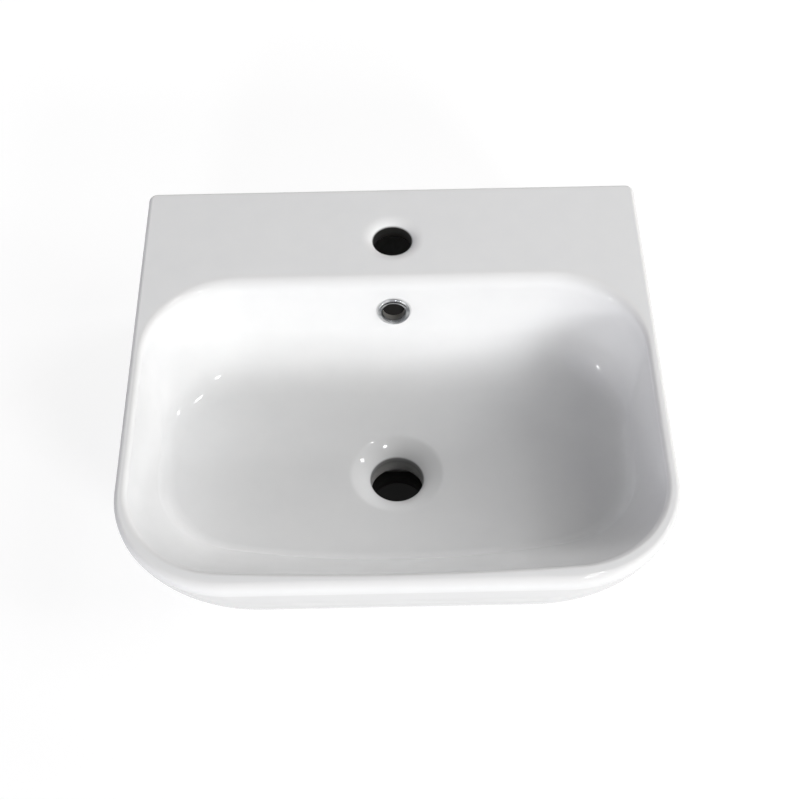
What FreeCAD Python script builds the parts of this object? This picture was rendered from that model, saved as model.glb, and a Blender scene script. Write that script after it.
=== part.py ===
import FreeCAD, Part
import math
import os

from FreeCAD import Vector

# A one-piece vitreous china basin with a tap deck, and the push-in trim of its overflow hole.
# Millimetres and degrees. The front faces -Y, the tap deck is at +Y, the foot stands on z = 0.
# A depth, in the functions below, is measured down from the flat top of the deck.

# Whole casting
width = 450.0
depth = 430.0
height = 150.0
back_corner_radius = 8.0
back_skim = 0.05

# Outer skin: how it leaves the rim, and how far the foot lies inside the rim
front_draft = 14.0
front_tuck = 80.0
side_tuck = 28.0
foot_corner_radius = 122.0
skirt_wall = 10.0
rim_edge_radius = 4.0
front_edge_radius = 8.0
foot_edge_radius = 2.0

# Deck behind the bowl
deck_depth = 118.5
deck_thickness = 12.0

# Bowl: rim beside it, slope of each wall off the vertical, radii of lip, corners and coves.
# The front wall is bowed in plan, a little at the rim and more at the floor.
side_rim = 9.5
front_rim = 11.5
side_slope = 6.5
front_slope = 38.0
rear_slope = 5.7
side_lip_radius = 4.5
front_lip_radius = 4.5
rear_lip_radius = 12.0
lip_lead = 12.0
rear_bowl_radius = 80.0
front_bowl_radius = 82.0
front_bow_radius = 2300.0
floor_bow_radius = 780.0
side_cove_radius = 14.0
front_cove_radius = 14.0
rear_cove_radius = 45.0
bowl_wall = 10.0

# Floor of the bowl, with the waste outlet in its middle
floor_height = 58.0
floor_margin = 4.0
floor_fall = 7.5
waste_radius = 23.0
flare_radius = 38.5
flare_drop = 13.0
flare_land = 1.0
collar_wall = 10.0
chamber_gap = 13.0
chamber_height = 13.0
clamp_plate = 9.0
boss_wall = 7.0
boss_lift = 1.5

# Tap hole in the deck, with a pad under it for the tap's nut
tap_from_bowl = 54.5
tap_radius = 17.5
tap_lip_radius = 5.5
tap_pad_wall = 10.0
tap_pad_drop = 4.0

# Overflow hole, and the channel that leads from it to the chamber round the waste
overflow_drop = 34.0
overflow_hole_radius = 12.65
seat_clearance = 0.8
seat_sink = 0.4
channel_headroom = 3.35
channel_width = 40.0
channel_gap = 12.0
channel_fall = 8.0
channel_bend_radius = 24.0
channel_wall = 7.0

# Two holes for wall bolts through the flat back
bolt_spacing = 280.0
bolt_radius = 7.0
bolt_drop = 45.0

# Overflow trim: chrome bezel, soft washer and two grip rings
bezel_lap = 1.95
bezel_flange = 2.2
bezel_edge_radius = 0.9
bezel_mouth_radius = 1.6
sleeve_clearance = 0.45
sleeve_wall = 2.2
sleeve_reach = 2.0
sleeve_chamfer = 0.6
washer_inset = 0.4
washer_thickness = 0.8
washer_clearance = 0.1
grip_section = 1.5
groove_width = 1.9
groove_clearance = 0.05
grip_hole_clearance = 0.1
front_grip_place = 3.5
rear_grip_margin = 2.5

# How far a cutting solid runs past the face that it cuts, and how near a point is to be on a plane
overrun = 2.0
near = 0.01

diagonal = math.sqrt(0.5)


def slope_of(degrees):
    return math.tan(math.radians(degrees))


def arc_run(radius, slope):
    """How far an arc between a level face and a wall reaches along each of them."""
    return radius * math.tan(math.radians(90 - slope) / 2)


# Places that follow from the sizes above
back = depth / 2
front = -depth / 2
bowl_back = back - deck_depth
bowl_front = front + front_rim
bowl_half = width / 2 - side_rim
bowl_depth = height - floor_height
floor_front = bowl_front + bowl_depth * slope_of(front_slope) + arc_run(front_cove_radius, front_slope)
floor_back = bowl_back - bowl_depth * slope_of(rear_slope) - arc_run(rear_cove_radius, rear_slope)
waste_y = (floor_front + floor_back) / 2
tap_y = bowl_back + tap_from_bowl
flare_depth = bowl_depth + floor_fall
collar_depth = flare_depth + flare_drop
boss_end = height - boss_lift
chamber_end = boss_end - clamp_plate
collar_end = chamber_end - chamber_height
chamber_radius = waste_radius + chamber_gap
channel_back = bowl_back + bowl_wall + channel_gap
channel_top = overflow_drop - overflow_hole_radius - channel_headroom

# The rim's outer edge is rounded no further than the lip of the bowl leaves it room
rim_room = side_rim - arc_run(side_lip_radius, side_slope)
rim_round = min(rim_edge_radius, 0.9 * rim_room)
front_room = front_rim - arc_run(front_lip_radius, front_slope)
front_round = min(front_edge_radius, 0.9 * front_room)

# The front leans in under its rounded edge, so its top line stands ahead of the foremost point.
# The lean where the rounded edge ends depends on its own depth, so it is found in a few passes.
draft = slope_of(front_draft)
tuck_bend = (front_tuck - draft * height) / height ** 2
rim_lean = math.radians(front_draft)
for attempt in range(8):
    rim_end = front_round * (1 + math.sin(rim_lean))
    rim_lean = math.atan(draft + 2 * tuck_bend * rim_end)
skin_front = front + front_round * (1 - math.cos(rim_lean)) - draft * rim_end - tuck_bend * rim_end ** 2
front_corner_radius = front_bowl_radius + front_rim


def joined(curves):
    """One wire of lines and arcs given in order."""
    return Part.Wire([curve.toShape() for curve in curves])


def corner(half, y_edge, radius, z, side, end):
    """Start, middle and finish of a corner arc; side and end are +1 or -1 for X and Y."""
    centre = Vector(side * (half - radius), y_edge - end * radius, z)
    on_side = centre + Vector(side * radius, 0, 0)
    on_end = centre + Vector(0, end * radius, 0)
    middle = centre + Vector(side * radius * diagonal, end * radius * diagonal, 0)
    return on_side, middle, on_end


def bowed_corner(half, y_edge, radius, bow, z, side):
    """Start, middle and finish of a front corner arc that runs on into a front wall of a large radius."""
    lean = math.asin((half - radius) / (bow - radius))
    centre = Vector(side * (half - radius), y_edge + bow - (bow - radius) * math.cos(lean), z)

    def at(angle):
        return centre + Vector(side * radius * math.sin(angle), -radius * math.cos(angle), 0)

    return at(math.pi / 2), at((math.pi / 2 + lean) / 2), at(lean)


def skin_section(down, inset):
    """Outer skin at one depth, set in by a wall: round front corners and square back ones."""
    share = down / height
    half = width / 2 - side_tuck * share ** 3 - inset
    y_front = skin_front + draft * down + tuck_bend * down ** 2 + inset
    y_back = back + back_skim - inset
    z = height - down
    radius = front_corner_radius + (foot_corner_radius - front_corner_radius) * share - inset
    left = corner(half, y_front, radius, z, -1, -1)
    right = corner(half, y_front, radius, z, 1, -1)
    back_right = Vector(half, y_back, z)
    back_left = Vector(-half, y_back, z)
    return joined([
        Part.LineSegment(right[0], back_right),
        Part.LineSegment(back_right, back_left),
        Part.LineSegment(back_left, left[0]),
        Part.Arc(left[0], left[1], left[2]),
        Part.LineSegment(left[2], right[2]),
        Part.Arc(right[2], right[1], right[0]),
    ])


def skin_solid(inset, top, bottom):
    """Smooth loft of the outer skin, set in by a wall, between two depths."""
    shares = (0, 1 / 6, 1 / 3, 1 / 2, 2 / 3, 5 / 6, 1)
    downs = [top + (bottom - top) * share for share in shares]
    return Part.makeLoft([skin_section(down, inset) for down in downs], True, False)


def wall_inset(down, slope, lip_radius, cove_radius):
    """How far a bowl wall lies inside its top line at one depth: lip arc, slope, cove arc."""
    angle = math.radians(slope)
    lip_run = arc_run(lip_radius, slope)
    cove_run = arc_run(cove_radius, slope)
    if down < lip_run * math.cos(angle):
        return math.sqrt(lip_radius ** 2 - (down - lip_radius) ** 2) - lip_run
    if down > bowl_depth - cove_run * math.cos(angle):
        rise = down - (bowl_depth - cove_radius)
        foot = bowl_depth * math.tan(angle) + cove_run
        return foot - math.sqrt(max(cove_radius ** 2 - rise ** 2, 0.0))
    return down * math.tan(angle)


def bowl_section(down, z, grow, lips):
    """Bowl outline of one depth, drawn at height z and grown outwards."""
    side_lip, front_lip, rear_lip = lips
    side = wall_inset(down, side_slope, side_lip, side_cove_radius)
    ahead = wall_inset(down, front_slope, front_lip, front_cove_radius)
    behind = wall_inset(down, rear_slope, rear_lip, rear_cove_radius)
    half = bowl_half - side + grow
    y_front = bowl_front + ahead - grow
    y_back = bowl_back - behind + grow
    back_radius = rear_bowl_radius - side / 2 + grow
    front_radius = front_bowl_radius - side / 2 + grow
    share = down / bowl_depth
    bow = 1 / ((1 - share) / front_bow_radius + share / floor_bow_radius) + grow
    sag = bow - math.sqrt(bow ** 2 - half ** 2)
    room_along = (y_back - y_front - sag) / (back_radius + front_radius)
    room_across = half / max(back_radius, front_radius)
    fit = min(1.0, 0.95 * room_along, 0.95 * room_across)
    back_right = corner(half, y_back, back_radius * fit, z, 1, 1)
    back_left = corner(half, y_back, back_radius * fit, z, -1, 1)
    front_left = bowed_corner(half, y_front, front_radius * fit, bow, z, -1)
    front_right = bowed_corner(half, y_front, front_radius * fit, bow, z, 1)
    return joined([
        Part.LineSegment(front_right[0], back_right[0]),
        Part.Arc(back_right[0], back_right[1], back_right[2]),
        Part.LineSegment(back_right[2], back_left[2]),
        Part.Arc(back_left[2], back_left[1], back_left[0]),
        Part.LineSegment(back_left[0], front_left[0]),
        Part.Arc(front_left[0], front_left[1], front_left[2]),
        Part.Arc(front_left[2], Vector(0, y_front, z), front_right[2]),
        Part.Arc(front_right[2], front_right[1], front_right[0]),
    ])


def waste_ring(radius, z):
    """Circle round the waste as eight arcs, which pair with the eight edges of a bowl outline."""
    def at(turn):
        angle = math.radians(turn)
        return Vector(radius * math.cos(angle), waste_y + radius * math.sin(angle), z)

    starts = [45.0 * n - 22.5 for n in range(8)]
    return joined([Part.Arc(at(turn), at(turn + 22.5), at(turn + 45.0)) for turn in starts])


def bowl_depths():
    """Depths of the bowl's sections: close together on the lip and the coves."""
    lip_turns = (0, 15, 30, 45, 60, 75, 90)
    lip = [rear_lip_radius * (1 - math.cos(math.radians(turn))) for turn in lip_turns]
    cove_turns = (10, 20, 30, 40, 50, 60, 70, 78, 84, 90)
    cove = [bowl_depth - rear_cove_radius * (1 - math.sin(math.radians(turn))) for turn in cove_turns]
    wall = [lip[-1] + (cove[0] - lip[-1]) * n / 3 for n in (1, 2)]
    return lip + wall + cove


def pool(grow, lips):
    """The floor's shallow fall from the foot of the walls to the flare round the waste."""
    top = height - bowl_depth - grow
    edge = bowl_section(bowl_depth, top, grow - floor_margin, lips)
    flare = waste_ring(flare_radius + flare_land + grow, top - floor_fall)
    return Part.makeLoft([edge, flare], True, True)


def bowl_hollow():
    """The space inside the bowl: lip, walls, coves and falling floor. It opens past the deck."""
    lips = (side_lip_radius, front_lip_radius, rear_lip_radius)
    above = overrun / 4
    wires = [bowl_section(0, height + above, above / slope_of(lip_lead), lips)]
    wires += [bowl_section(down, height - down, 0, lips) for down in bowl_depths()]
    return Part.makeLoft(wires, True, False).fuse(pool(0, lips))


def bowl_block():
    """The bowl with its wall filled in, which the space under the basin goes round."""
    sharp = (0, 0, 0)
    drop = 1 + bowl_wall / bowl_depth
    wires = [bowl_section(down, height - down * drop, bowl_wall, sharp) for down in bowl_depths()]
    return Part.makeLoft(wires, True, False).fuse(pool(bowl_wall, sharp))


def upright(radius, y, top, bottom):
    """Upright cylinder on the centre line between two depths."""
    return Part.makeCylinder(radius, bottom - top, Vector(0, y, height - bottom))


def channel(wall):
    """Overflow channel down the back of the bowl and under its floor, grown by a wall."""
    y_back = channel_back + wall
    top = height - channel_top + wall
    low = height - chamber_end - wall
    radius = channel_bend_radius + wall
    run = math.hypot(y_back - waste_y, channel_fall)
    forward = Vector(0, (waste_y - y_back) / run, -channel_fall / run)
    knee = Vector(0, y_back, low + channel_fall)
    turn = math.acos(-forward.z)
    setback = radius * math.tan(turn / 2)
    enter = knee + Vector(0, 0, setback)
    leave = knee + forward * setback
    inwards = (forward + Vector(0, 0, 1)).normalize()
    middle = knee + inwards * (radius / math.cos(turn / 2) - radius)
    waste_low = Vector(0, waste_y, low)
    in_bowl = Vector(0, waste_y, height - bowl_depth / 2)
    front_top = Vector(0, bowl_back, top)
    back_top = Vector(0, y_back, top)
    side = Part.Face(joined([
        Part.LineSegment(back_top, enter),
        Part.Arc(enter, middle, leave),
        Part.LineSegment(leave, waste_low),
        Part.LineSegment(waste_low, in_bowl),
        Part.LineSegment(in_bowl, front_top),
        Part.LineSegment(front_top, back_top),
    ]))
    half = channel_width / 2 + wall
    side.translate(Vector(-half, 0, 0))
    return side.extrude(Vector(2 * half, 0, 0))


def turned(start, *moves):
    """Solid of revolution about Z: each move is a point, or a middle and an end point of an arc."""
    def at(point):
        return Vector(point[0], 0, point[1])

    curves = []
    here = start
    for move in moves + (start,):
        if isinstance(move[0], tuple):
            middle, there = move
            curves.append(Part.Arc(at(here), at(middle), at(there)))
        else:
            there = move
            curves.append(Part.LineSegment(at(here), at(there)))
        here = there
    return Part.Face(joined(curves)).revolve(Vector(0, 0, 0), Vector(0, 0, 1), 360)


def waste_hollow():
    """Rounded flare in the floor, then the waste hole down through collar and clamp plate."""
    run = flare_radius - waste_radius
    middle = (flare_radius - run * diagonal, -flare_depth - flare_drop * (1 - diagonal))
    shape = turned(
        (0, -flare_depth + overrun),
        (flare_radius, -flare_depth + overrun),
        (flare_radius, -flare_depth),
        (middle, (waste_radius, -collar_depth)),
        (waste_radius, -boss_end - overrun),
        (0, -boss_end - overrun),
    )
    shape.translate(Vector(0, waste_y, height))
    return shape


# The overflow's own frame: its seat on the rear wall and its axis out into the bowl
overflow_axis = Vector(0, -math.cos(math.radians(rear_slope)), math.sin(math.radians(rear_slope)))
overflow_wall = Vector(0, bowl_back - overflow_drop * slope_of(rear_slope), height - overflow_drop)
overflow_seat = overflow_wall - overflow_axis * seat_sink
overflow_turn = FreeCAD.Rotation(Vector(0, 0, 1), overflow_axis)
bezel_radius = overflow_hole_radius + bezel_lap
sleeve_radius = overflow_hole_radius - sleeve_clearance
grip_radius = overflow_hole_radius - grip_hole_clearance - grip_section / 2
rear_grip_place = bowl_wall - rear_grip_margin


def on_overflow(shape):
    """Move a shape made about Z, with its seat at z = 0, onto the overflow's seat."""
    shape.Placement = FreeCAD.Placement(overflow_seat, overflow_turn)
    return shape


def edges_where(shape, test):
    """Edges whose ends and middle all pass a test."""
    found = []
    for edge in shape.Edges:
        middle = edge.valueAt((edge.FirstParameter + edge.LastParameter) / 2)
        if all(test(point) for point in [vertex.Point for vertex in edge.Vertexes] + [middle]):
            found.append(edge)
    return found


def rounded_rim(form):
    """Round the rim's edge: large at the front, small at the sides and back, changing in the corners."""
    document = FreeCAD.newDocument()
    base = document.addObject("Part::Feature", "form")
    base.Shape = form
    rim = edges_where(base.Shape, lambda point: abs(point.z - height) < near)

    def radius_at(point):
        return front_round if point.y < front + front_corner_radius / 2 else rim_round

    laws = []
    for number, edge in enumerate(base.Shape.Edges, 1):
        if any(edge.isSame(other) for other in rim):
            first = edge.valueAt(edge.FirstParameter)
            last = edge.valueAt(edge.LastParameter)
            laws.append((number, radius_at(first), radius_at(last)))
    fillet = document.addObject("Part::Fillet", "rounded_form")
    fillet.Base = base
    fillet.Edges = laws
    document.recompute()
    shape = fillet.Shape.copy()
    FreeCAD.closeDocument(document.Name)
    return shape


def outer_form():
    """The outside of the casting: back corners, rim edge and foot edge rounded, back ground flat."""
    form = skin_solid(0, 0, height)
    on_back = edges_where(form, lambda point: point.y > back)
    form = form.makeFillet(back_corner_radius, [e for e in on_back if e.BoundBox.ZLength > height / 2])
    form = rounded_rim(form)
    form = form.makeFillet(foot_edge_radius, edges_where(form, lambda point: abs(point.z) < near))
    return form.cut(Part.makeBox(2 * width, overrun, 2 * height, Vector(-width, back, -height / 2)))


def under_hollow():
    """The open space under the basin: inside the skirt, round the bowl, boss, channel and pad."""
    space = skin_solid(skirt_wall, deck_thickness, height + overrun)
    fillings = [
        bowl_block(),
        upright(chamber_radius + boss_wall, waste_y, bowl_depth, boss_end),
        channel(channel_wall),
        upright(tap_radius + tap_pad_wall, tap_y, 0, deck_thickness + tap_pad_drop),
    ]
    for filling in fillings:
        space = space.cut(filling)
    return space


def channel_hollow():
    """Inside of the overflow channel, with the chamber round the waste that it runs into."""
    space = channel(0).cut(bowl_block())
    space = space.cut(upright(waste_radius + collar_wall, waste_y, bowl_depth, collar_end))
    return space.fuse(upright(chamber_radius, waste_y, collar_end, chamber_end))


def overflow_hollow():
    """Overflow hole from the channel to the bowl, with a shallow flat seat for the trim."""
    inner = bowl_wall + channel_gap / 2
    hole = Part.makeCylinder(overflow_hole_radius, inner + overrun, Vector(0, 0, -inner))
    seat = Part.makeCylinder(bezel_radius + seat_clearance, overrun)
    return on_overflow(hole.fuse(seat))


def casting():
    """The fired china body, one solid."""
    body = outer_form()
    for hollow in (bowl_hollow(), under_hollow(), channel_hollow(), waste_hollow(), overflow_hollow()):
        body = body.cut(hollow)
    body = body.cut(upright(tap_radius, tap_y, -overrun, deck_thickness + tap_pad_drop + overrun))

    def on_tap_rim(point):
        return abs(point.z - height) < near and math.hypot(point.x, point.y - tap_y) < tap_radius + near

    body = body.makeFillet(tap_lip_radius, edges_where(body, on_tap_rim))
    for side in (-1, 1):
        place = Vector(side * bolt_spacing / 2, back - skirt_wall - overrun, height - bolt_drop)
        body = body.cut(Part.makeCylinder(bolt_radius, skirt_wall + 2 * overrun, place, Vector(0, 1, 0)))
    return body


def bezel():
    """Chrome bezel: rounded flange, plain bore and a sleeve with two grooves."""
    face = washer_thickness + bezel_flange
    edge = bezel_edge_radius
    mouth = bezel_mouth_radius
    bore = sleeve_radius - sleeve_wall
    end = -bowl_wall - sleeve_reach
    tight = 1 - diagonal
    body = turned(
        (bore, end),
        (sleeve_radius - sleeve_chamfer, end),
        (sleeve_radius, end + sleeve_chamfer),
        (sleeve_radius, washer_thickness),
        (bezel_radius, washer_thickness),
        (bezel_radius, face - edge),
        ((bezel_radius - edge * tight, face - edge * tight), (bezel_radius - edge, face)),
        (bore + mouth, face),
        ((bore + mouth * tight, face - mouth * tight), (bore, face - mouth)),
    )
    groove_floor = grip_radius - grip_section / 2 - groove_clearance
    for place in (front_grip_place, rear_grip_place):
        low = Vector(0, 0, -place - groove_width / 2)
        groove = Part.makeCylinder(sleeve_radius + overrun, groove_width, low)
        body = body.cut(groove.cut(Part.makeCylinder(groove_floor, groove_width, low)))
    return on_overflow(body)


def washer():
    """Soft flat washer between the bezel's flange and the glaze."""
    outer = Part.makeCylinder(bezel_radius - washer_inset, washer_thickness)
    return on_overflow(outer.cut(Part.makeCylinder(sleeve_radius + washer_clearance, washer_thickness)))


def grip_ring(place):
    """Round rubber ring in one groove of the sleeve, which holds the trim in the hole."""
    return on_overflow(Part.makeTorus(grip_radius, grip_section / 2, Vector(0, 0, -place)))


os.makedirs("parts", exist_ok=True)
pieces = {
    "basin_body": casting(),
    "overflow_bezel": bezel(),
    "overflow_washer": washer(),
    "front_grip_ring": grip_ring(front_grip_place),
    "rear_grip_ring": grip_ring(rear_grip_place),
}
for name, shape in pieces.items():
    shape.exportStep(os.path.join("parts", name + ".step"))
    box = shape.optimalBoundingBox()
    print("%s: %d solid, valid %s, %.0f mm3" % (name, len(shape.Solids), shape.isValid(), shape.Volume))
    print("  x %.2f to %.2f, y %.2f to %.2f, z %.2f to %.2f" % (
        box.XMin, box.XMax, box.YMin, box.YMax, box.ZMin, box.ZMax))
print("waste y %.2f, tap y %.2f, seat y %.2f z %.2f, collar %.1f long" % (
    waste_y, tap_y, overflow_seat.y, overflow_seat.z, collar_end - collar_depth))
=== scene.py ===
# %% [markdown]
# A china basin, surface by surface
#
# The real object is one white casting: a flat deck with a tap hole, a bowl with rounded corners, and a skirt
# that leans in to the foot. A chromed trim is pushed into the overflow hole. The glaze mirrors the room, so
# a coarse mesh would show at once. Every surface here is worked out densely from a formula.
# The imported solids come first. They fix the frame, and the new surfaces are drawn from the same sizes.

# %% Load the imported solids
import math

import bpy
import numpy as np
from mathutils import Matrix


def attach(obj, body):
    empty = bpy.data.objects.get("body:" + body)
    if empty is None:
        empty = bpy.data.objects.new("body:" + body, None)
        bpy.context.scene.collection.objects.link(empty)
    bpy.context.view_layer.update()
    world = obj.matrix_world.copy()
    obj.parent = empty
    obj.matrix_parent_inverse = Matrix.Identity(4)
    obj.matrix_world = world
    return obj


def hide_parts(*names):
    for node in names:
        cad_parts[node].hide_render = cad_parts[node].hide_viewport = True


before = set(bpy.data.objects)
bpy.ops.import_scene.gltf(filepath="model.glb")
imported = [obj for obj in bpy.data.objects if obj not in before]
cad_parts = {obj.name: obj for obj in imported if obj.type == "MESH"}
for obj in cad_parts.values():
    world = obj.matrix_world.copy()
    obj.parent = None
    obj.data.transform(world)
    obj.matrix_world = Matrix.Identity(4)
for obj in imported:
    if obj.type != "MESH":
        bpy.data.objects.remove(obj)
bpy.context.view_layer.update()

print("solids:", sorted(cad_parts))

# %% [markdown]
# Sizes
#
# Millimetres and degrees, as in the solids. The front faces -Y and the foot stands on z = 0. A depth is
# measured down from the deck. Keeping each size under a name lets two surfaces that meet share one value.

# %% Sizes of the casting
MM = 0.001
width, depth, height = 450.0, 430.0, 150.0
back, front = depth / 2, -depth / 2
back_corner_radius, front_corner_radius, foot_corner_radius = 8.0, 93.5, 122.0
front_draft, front_tuck, side_tuck = 14.0, 80.0, 28.0
skirt_wall, rim_radius, front_edge_radius, foot_radius = 10.0, 4.0, 8.0, 2.0
deck_depth, deck_thickness = 118.5, 12.0
side_rim, front_rim = 9.5, 11.5
slopes = {"side": 6.5, "front": 38.0, "rear": 5.7}
lips = {"side": 4.5, "front": 4.5, "rear": 12.0}
no_lips = dict.fromkeys(lips, 0.0)
coves = {"side": 14.0, "front": 14.0, "rear": 45.0}
rear_bowl_radius, front_bowl_radius = 80.0, 82.0
front_bow_radius, floor_bow_radius = 2300.0, 780.0
bowl_wall, bowl_depth, floor_fall = 10.0, 92.0, 7.5
bowl_back, bowl_front, bowl_half = back - deck_depth, front + front_rim, width / 2 - side_rim
print("bowl: %.0f by %.0f mm, %.0f mm deep" % (2 * bowl_half, bowl_back - bowl_front, bowl_depth))

# %% [markdown]
# Outlines
#
# Seen from above, the bowl and the skirt are both rectangles with round corners, and only their sizes
# change with depth. A subdivided box could be pushed into this form by hand, but it would only come near the
# sizes of the solids. Here one formula gives every outline as a whole array, with the same number of points,
# so each can be joined to the next. A point lies between two corner circles. On a corner both are the same
# circle and the direction turns. On a side the direction stays, and the point slides from one circle to the
# next. The bowl's front is an arc of a large circle, which the front corner circles touch from inside.

# %% Where each outline point lies
# Corners: 0 front right, 1 rear right, 2 rear left, 3 front left. Point 0 is the middle of the front.
FRONT_CELLS, CORNER_CELLS, SIDE_CELLS, REAR_CELLS = 24, 32, 40, 64
runs = np.array([
    # first and second corner, first and last turn in degrees, first and last share, cells
    (3, 0, -90, -90, 0.5, 1.0, FRONT_CELLS),
    (0, 0, -90, 0, 0.0, 0.0, CORNER_CELLS),
    (0, 1, 0, 0, 0.0, 1.0, SIDE_CELLS),
    (1, 1, 0, 90, 0.0, 0.0, CORNER_CELLS),
    (1, 2, 90, 90, 0.0, 1.0, REAR_CELLS),
    (2, 2, 90, 180, 0.0, 0.0, CORNER_CELLS),
    (2, 3, 180, 180, 0.0, 1.0, SIDE_CELLS),
    (3, 3, 180, 270, 0.0, 0.0, CORNER_CELLS),
    (3, 0, 270, 270, 0.0, 0.5, FRONT_CELLS),
])
cells = runs[:, 6].astype(int)
run_of = np.repeat(np.arange(len(runs)), cells)
along = (np.arange(cells.sum()) - np.repeat(np.cumsum(cells) - cells, cells)) / np.repeat(cells, cells)
first_corner, second_corner = runs[run_of, 0].astype(int), runs[run_of, 1].astype(int)
turn = np.radians(runs[run_of, 2] + (runs[run_of, 3] - runs[run_of, 2]) * along)
share = runs[run_of, 4] + (runs[run_of, 5] - runs[run_of, 4]) * along
POINTS = len(turn)
REAR_MIDDLE = FRONT_CELLS + 2 * CORNER_CELLS + SIDE_CELLS + REAR_CELLS // 2
corner_x = np.array([1.0, 1.0, -1.0, -1.0])
corner_is_rear = np.array([0.0, 1.0, 1.0, 0.0])
on_front = (run_of == 0) | (run_of == 8)
lean_share = np.select([run_of == 0, run_of == 1, run_of == 7, run_of == 8],
                       [along, 1 - along, -along, along - 1], 0.0)
NEARLY_STRAIGHT = 1e6
print("points in one outline:", POINTS)


# %% One formula for every outline
def outline(half, y_front, y_rear, front_radius, rear_radius, bow=NEARLY_STRAIGHT):
    """Rounded rectangles with a bowed front. Where the bow meets a corner, the direction leans by the
    arcsine of the corner centre's x over the bow's radius less the corner's. Off the front, each point is a
    share of the way from its first corner circle to its second one."""
    lean = np.arcsin((half - front_radius) / (bow - front_radius))
    front_centre = y_front + bow - (bow - front_radius) * np.cos(lean)
    direction = turn + lean * lean_share

    def on_corner(number):
        """The point of a corner's circle: its centre plus its radius in the direction."""
        rear = corner_is_rear[number]
        radius = front_radius + (rear_radius - front_radius) * rear
        x = corner_x[number] * (half - radius) + radius * np.cos(direction)
        y = front_centre * (1 - rear) + (y_rear - radius) * rear + radius * np.sin(direction)
        return np.stack(np.broadcast_arrays(x, y), axis=-1)

    first, second = on_corner(first_corner), on_corner(second_corner)
    bowed = np.stack([bow * np.cos(direction), y_front + bow + bow * np.sin(direction)], axis=-1)
    return np.where(on_front[:, None], bowed, first + (second - first) * share[:, None])


def lifted(flat, down):
    """Outlines at their depths: x and y as they are, z the height less the depth."""
    z = np.broadcast_to(height - np.asarray(down, float), flat.shape[:2])
    return np.concatenate([flat, z[..., None]], axis=-1)


deck_edge = outline(width / 2, front, back, front_corner_radius, back_corner_radius)
deck_steps = np.linalg.norm(deck_edge - np.roll(deck_edge, 1, axis=0), axis=1)
print("edge of the deck: %.0f mm round, longest step %.1f mm" % (deck_steps.sum(), deck_steps.max()))

# %% [markdown]
# The bowl's walls
#
# A wall starts on the deck with a lip arc, goes down straight on its slope, and turns into the floor with a
# cove arc. The rear wall has a large soft lip and a large cove, the sides are tighter, and the front slopes
# most. A Bevel modifier would round all edges alike. Here the inset of each wall is its own function of
# depth, and the outline formula blends them round the corners.

# %% Bowl walls
def wall_inset(down, side, lip):
    """Inset of one wall: depth times the tangent of its slope, with a lip arc above and a cove arc below."""
    angle, cove = math.radians(slopes[side]), coves[side]
    reach = math.tan((math.pi / 2 - angle) / 2)
    lip_arc = np.sqrt(np.maximum(lip ** 2 - (down - lip) ** 2, 0)) - lip * reach
    rise = np.clip(down - bowl_depth + cove, 0, cove)
    foot = bowl_depth * math.tan(angle) + cove * reach
    cove_arc = foot - np.sqrt(np.maximum(cove ** 2 - rise ** 2, 0))
    inset = np.where(down < lip * reach * math.cos(angle), lip_arc, down * math.tan(angle))
    return np.where(down > bowl_depth - cove * reach * math.cos(angle), cove_arc, inset)


def bowl_outline(down, grow=0.0, lip=lips):
    """Outline of the bowl at each depth, grown outwards: every wall at its own inset."""
    side = wall_inset(down, "side", lip["side"])
    ahead = wall_inset(down, "front", lip["front"])
    behind = wall_inset(down, "rear", lip["rear"])
    part = down / bowl_depth
    bow = 1 / ((1 - part) / front_bow_radius + part / floor_bow_radius)
    return outline(bowl_half - side + grow, bowl_front + ahead - grow, bowl_back - behind + grow,
                   front_bowl_radius - side / 2 + grow, rear_bowl_radius - side / 2 + grow, bow + grow)


def column(values):
    """Depths as a column, one for each outline."""
    return np.asarray(values, float)[:, None]


LIP_RINGS, WALL_RINGS, COVE_RINGS = 25, 18, 34
lip_turn, cove_start = 84.0, 51.5
lip_bend = np.radians(np.linspace(0, lip_turn, LIP_RINGS))
lip_depths = lips["rear"] * (1 - np.cos(lip_bend))
wall_depths = np.linspace(lip_depths[-1], cove_start, WALL_RINGS)[1:]
cove_bend = np.radians(np.linspace(slopes["rear"], 90, COVE_RINGS))
cove_depths = bowl_depth - coves["rear"] * (1 - np.sin(cove_bend))[1:]
bowl_depths = np.concatenate([lip_depths, wall_depths, cove_depths])
bowl = lifted(bowl_outline(column(bowl_depths)), column(bowl_depths))
floor_edge = bowl_outline(np.array([[bowl_depth]]))
waste_y = (floor_edge[..., 1].min() + floor_edge[..., 1].max()) / 2
print("bowl rings:", len(bowl), "waste at y = %.1f" % waste_y)

# %% [markdown]
# Waste and floor
#
# The floor falls a few millimetres from the foot of the walls to a soft shoulder, and a funnel drops from
# there into the waste hole: a blend of a cone and a quarter of an ellipse. A Boolean could cut the hole, but
# it leaves long thin faces, which show in a gloss. Here the rings round the hole are circles with the same
# number of points as the outlines, one arc for each run, and floor rings are blends of the two. A cove that
# ended level before the fall began would show as a dark line, so the fall begins while the cove still turns.

# %% Floor and waste hole
waste_radius, flare_radius, flare_drop = 23.0, 38.5, 13.0
flare_depth = bowl_depth + floor_fall
ring_start = np.array([-90, -67.5, -22.5, 22.5, 67.5, 112.5, 157.5, 202.5, 247.5])
ring_end = np.append(ring_start[1:], 270)
ring_angle = np.radians(ring_start[run_of] + (ring_end - ring_start)[run_of] * along)


def circles(profile):
    """Circles round the waste, one for each radius and depth of a profile."""
    radius, down = profile[:, :1], profile[:, 1:]
    flat = np.stack([radius * np.cos(ring_angle), waste_y + radius * np.sin(ring_angle)], axis=-1)
    return lifted(flat, down)


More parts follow.
